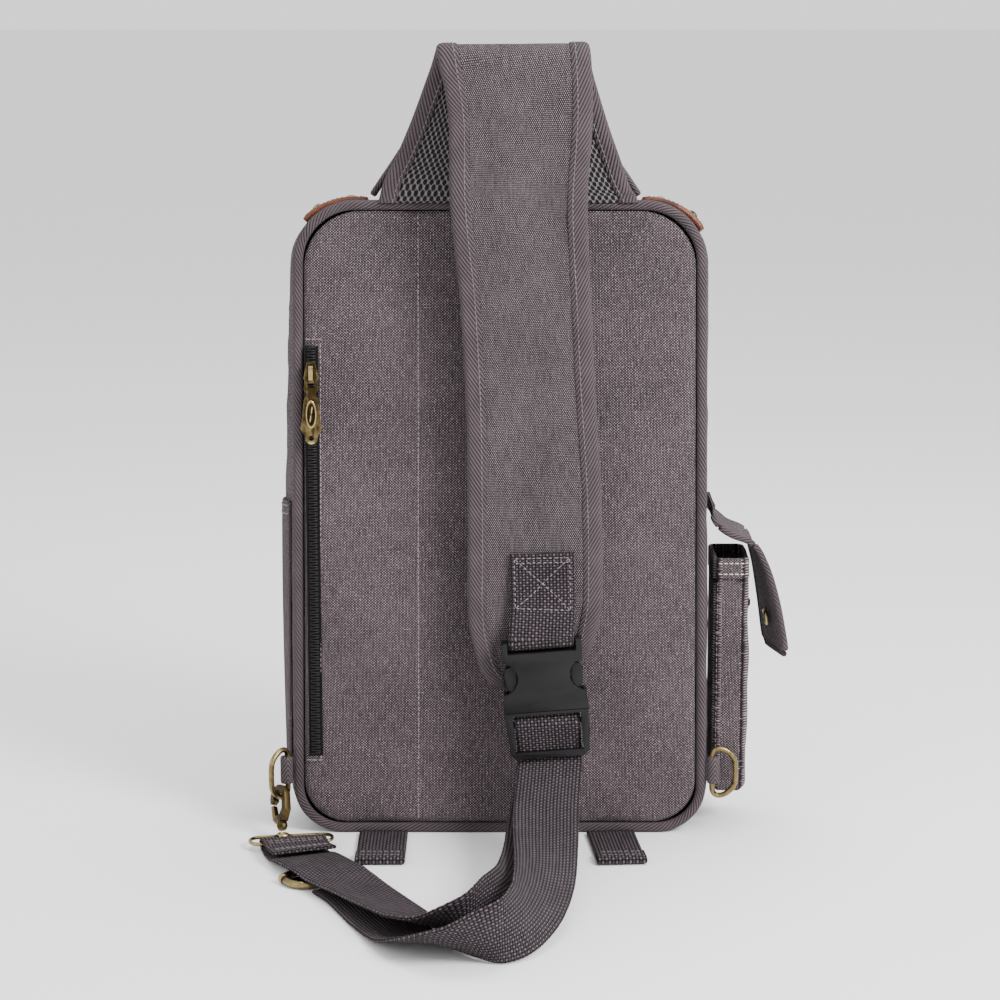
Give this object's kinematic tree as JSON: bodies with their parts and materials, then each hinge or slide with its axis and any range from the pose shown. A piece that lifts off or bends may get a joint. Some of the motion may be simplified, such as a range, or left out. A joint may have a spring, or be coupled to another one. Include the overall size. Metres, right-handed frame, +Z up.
{
  "type": "sling bag",
  "caption": "Canvas one-strap sling bag with zipped compartments, flapped side pocket, side-release buckle and webbing sling clipped to a D-ring.",
  "frame": {"origin": "middle of the flat base, on the surface that the bag stands on", "axes": "+Z up along the bag's height, back panel with the shoulder strap faces -Y, side pocket at +X"},
  "size_m": [0.3212, 0.3423, 0.4681],
  "materials": {
    "canvas": "washed plain-weave cotton canvas, dark mauve grey with pale flecks",
    "binding_tape": "cotton twill tape, ribbed",
    "webbing": "heavy cotton webbing with round picks",
    "air_mesh": "polyester spacer mesh with open cells",
    "lining": "dark plain lining",
    "foam": "closed-cell foam",
    "base_board": "stiffener sheet",
    "zip_tape": "black knitted zip tape",
    "zip_coil": "black nylon coil",
    "antique_brass": "antique brass, polished high spots over dark recesses",
    "dark_brass": "dark aged brass",
    "leather": "oiled cowhide, orange brown with dark edges",
    "buckle_plastic": "moulded acetal, fine satin grain"
  },
  "bodies": {
    "bag": {"back_panel": "canvas", "back_foam": "foam", "back_piping": "binding_tape", "front_piping": "binding_tape", "front_panel": "canvas", "gusset_right": "canvas", "gusset_left": "canvas", "gusset_top": "canvas", "gusset_bottom": "canvas", "base_board": "base_board", "lining": "lining", "back_zip_tape": "zip_tape", "back_zip_coil": "zip_coil", "top_zip_tape": "zip_tape", "top_zip_coil": "zip_coil", "front_zip_tape": "zip_tape", "front_zip_coil": "zip_coil", "front_pocket": "canvas", "side_pocket": "canvas", "snap_stud": "antique_brass", "slip_pocket": "canvas", "leather_patch_left": "leather", "rivet_left_1": "antique_brass", "rivet_left_2": "antique_brass", "leather_patch_right": "leather", "rivet_right_1": "antique_brass", "rivet_right_2": "antique_brass", "strap_canvas": "canvas", "strap_foam": "foam", "strap_mesh": "air_mesh", "strap_binding_left": "binding_tape", "strap_binding_right": "binding_tape", "buckle_socket": "buckle_plastic", "strap_tab": "webbing", "sling_webbing": "webbing", "lash_strap_left": "webbing", "lash_strap_right": "webbing", "d_tab_right": "webbing", "d_tab_left": "webbing", "swivel_loop": "antique_brass"},
    "back_zip_slider": {"back_zip_slider": "antique_brass"},
    "back_zip_pull": {"back_zip_pull": "antique_brass"},
    "top_zip_slider": {"top_zip_slider": "antique_brass"},
    "top_zip_pull": {"top_zip_pull": "antique_brass"},
    "front_zip_slider": {"front_zip_slider": "antique_brass"},
    "front_zip_pull": {"front_zip_pull": "antique_brass"},
    "side_flap": {"side_flap": "canvas", "snap_socket": "antique_brass", "snap_cap": "antique_brass"},
    "haul_handle": {"haul_handle": "webbing"},
    "d_ring_right": {"d_ring_right": "antique_brass"},
    "d_ring_left": {"d_ring_left": "antique_brass"},
    "snap_hook": {"snap_hook": "dark_brass"},
    "hook_trigger": {"hook_trigger": "dark_brass"},
    "buckle_frame": {"buckle_frame": "buckle_plastic"},
    "buckle_prong_left": {"buckle_prong_left": "buckle_plastic"},
    "buckle_prong_right": {"buckle_prong_right": "buckle_plastic"},
    "adjuster_slide": {"adjuster_slide": "antique_brass"}
  },
  "joints": [
    {"name": "back_zip_run", "type": "slide", "parent": "bag", "child": "back_zip_slider", "axis": [0, 0, 1], "range_m": [-0.215, 0]},
    {"name": "back_zip_pull_flip", "type": "hinge", "parent": "back_zip_slider", "child": "back_zip_pull", "pos_m": [-0.1095, -0.052, 0.28035], "axis": [-1, 0, 0], "range_deg": [0, 165]},
    {"name": "top_zip_run", "type": "slide", "parent": "bag", "child": "top_zip_slider", "axis": [1, 0, 0], "range_m": [-0.12, 0]},
    {"name": "top_zip_pull_flip", "type": "hinge", "parent": "top_zip_slider", "child": "top_zip_pull", "pos_m": [0.06248, 0.00874, 0.37659], "axis": [0, 0.9827, -0.185], "range_deg": [0, 165]},
    {"name": "front_zip_run", "type": "slide", "parent": "bag", "child": "front_zip_slider", "axis": [1, 0, 0], "range_m": [-0.14, 0]},
    {"name": "front_zip_pull_flip", "type": "hinge", "parent": "front_zip_slider", "child": "front_zip_pull", "pos_m": [0.07335, 0.0519, 0.172], "axis": [0, 0, -1], "range_deg": [0, 165]},
    {"name": "side_flap_hinge", "type": "hinge", "parent": "bag", "child": "side_flap", "pos_m": [0.1266, -0.007, 0.1975], "axis": [0, 1, 0], "range_deg": [-110, 0]},
    {"name": "haul_handle_fold", "type": "hinge", "parent": "bag", "child": "haul_handle", "pos_m": [0.0035, -0.016, 0.3795], "axis": [1, 0, 0], "range_deg": [-34, 5]},
    {"name": "d_ring_right_swing", "type": "hinge", "parent": "bag", "child": "d_ring_right", "pos_m": [0.127, -0.0428, 0.0375], "axis": [0, 0, 1], "range_deg": [-120, 20]},
    {"name": "d_ring_left_swing", "type": "hinge", "parent": "bag", "child": "d_ring_left", "pos_m": [-0.127, -0.0428, 0.0375], "axis": [0, 0, 1], "range_deg": [-4, 4]},
    {"name": "hook_swivel", "type": "hinge", "parent": "bag", "child": "snap_hook", "pos_m": [-0.1286, -0.0644, 0.005], "axis": [-0.1043, 0.6662, 0.7384], "range_deg": [-8, 8]},
    {"name": "hook_gate", "type": "hinge", "parent": "snap_hook", "child": "hook_trigger", "pos_m": [-0.13354, -0.05244, 0.01179], "axis": [-0.7687, -0.5252, 0.3652], "range_deg": [0, 18], "stiffness_Nm_per_rad": 0.02, "springref_deg": -17.19},
    {"name": "buckle_release", "type": "slide", "parent": "bag", "child": "buckle_frame", "axis": [0.0785, 0, -0.9969], "range_m": [0, 0.028], "deforming": ["sling_webbing"]},
    {"name": "prong_left_squeeze", "type": "hinge", "parent": "buckle_frame", "child": "buckle_prong_left", "pos_m": [0.01073, -0.0754, 0.0842], "axis": [0, 1, 0], "range_deg": [0, 15]},
    {"name": "prong_right_squeeze", "type": "hinge", "parent": "buckle_frame", "child": "buckle_prong_right", "pos_m": [0.04323, -0.0754, 0.0868], "axis": [0, -1, 0], "range_deg": [0, 15]},
    {"name": "adjuster_run", "type": "slide", "parent": "bag", "child": "adjuster_slide", "axis": [-0.4706, 0.8823, 0], "range_m": [0, 0.012], "deforming": ["sling_webbing"]}
  ],
  "couplings": [
    {"joint": "prong_left_squeeze", "follows": "buckle_release", "rad_per_m": 8.3526},
    {"joint": "prong_right_squeeze", "follows": "buckle_release", "rad_per_m": 8.3526}
  ]
}
